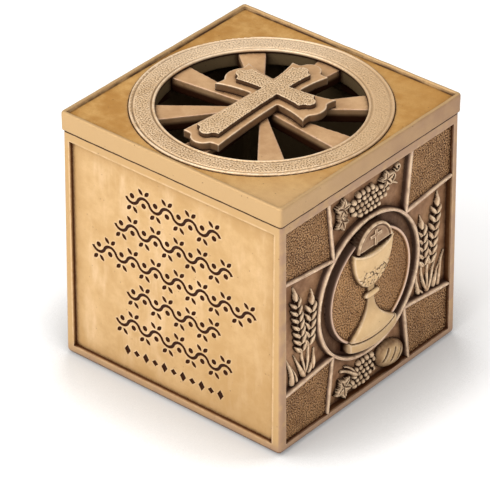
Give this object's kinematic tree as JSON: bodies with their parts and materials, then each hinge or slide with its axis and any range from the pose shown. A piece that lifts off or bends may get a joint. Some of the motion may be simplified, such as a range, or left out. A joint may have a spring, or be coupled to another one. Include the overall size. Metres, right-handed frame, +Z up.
{
  "type": "offering box",
  "caption": "Small square cast box with a lift-off lid pierced by sunburst gaps round a cross, relief panels on two sides and a felt-padded base.",
  "frame": {"origin": "middle of the underside, on the surface the box stands on", "axes": "+Z up, -Y out of the plain engraved front, +X out of the right relief face"},
  "size_m": [0.0924, 0.0882, 0.0923],
  "materials": {
    "gilt_shell": "cast resin with worn antique gilt",
    "gilt_smooth": "cast resin with smooth antique gilt and dark wash",
    "gilt_stippled": "stippled cast resin with pale antique gilt",
    "deep_ground": "cast resin under a dark brown wash",
    "grained_tile": "fine grained cast resin, brown gilt",
    "relief_edges": "dry-brushed pale highlights over brown wash",
    "smooth_relief": "smooth pale gilt",
    "felt": "dark brown felt"
  },
  "bodies": {
    "box": {"box_shell": "gilt_shell", "base_pad": "felt", "front_panel": "gilt_smooth", "back_panel": "gilt_smooth", "right_relief_panel": "deep_ground", "right_rib_lattice": "relief_edges", "right_corner_tiles": "grained_tile", "right_medallion": "grained_tile", "right_chalice": "smooth_relief", "right_host": "smooth_relief", "right_wheat_front": "relief_edges", "right_wheat_back": "relief_edges", "right_vine_top": "relief_edges", "right_vine_bottom": "relief_edges", "right_loaf": "smooth_relief", "left_relief_panel": "deep_ground", "left_rib_lattice": "relief_edges", "left_corner_tiles": "grained_tile", "left_medallion": "grained_tile", "left_chalice": "smooth_relief", "left_host": "smooth_relief", "left_wheat_front": "relief_edges", "left_wheat_back": "relief_edges", "left_vine_top": "relief_edges", "left_vine_bottom": "relief_edges", "left_loaf": "smooth_relief"},
    "lid": {"lid_frame": "gilt_smooth", "rosette_ring": "gilt_stippled", "sunburst_grille": "gilt_smooth", "lower_cross": "gilt_smooth", "upper_cross": "gilt_stippled"}
  },
  "joints": [
    {"name": "lid_lift", "type": "slide", "parent": "box", "child": "lid", "axis": [0, 0, 1], "range_m": [0, 0.06]}
  ]
}
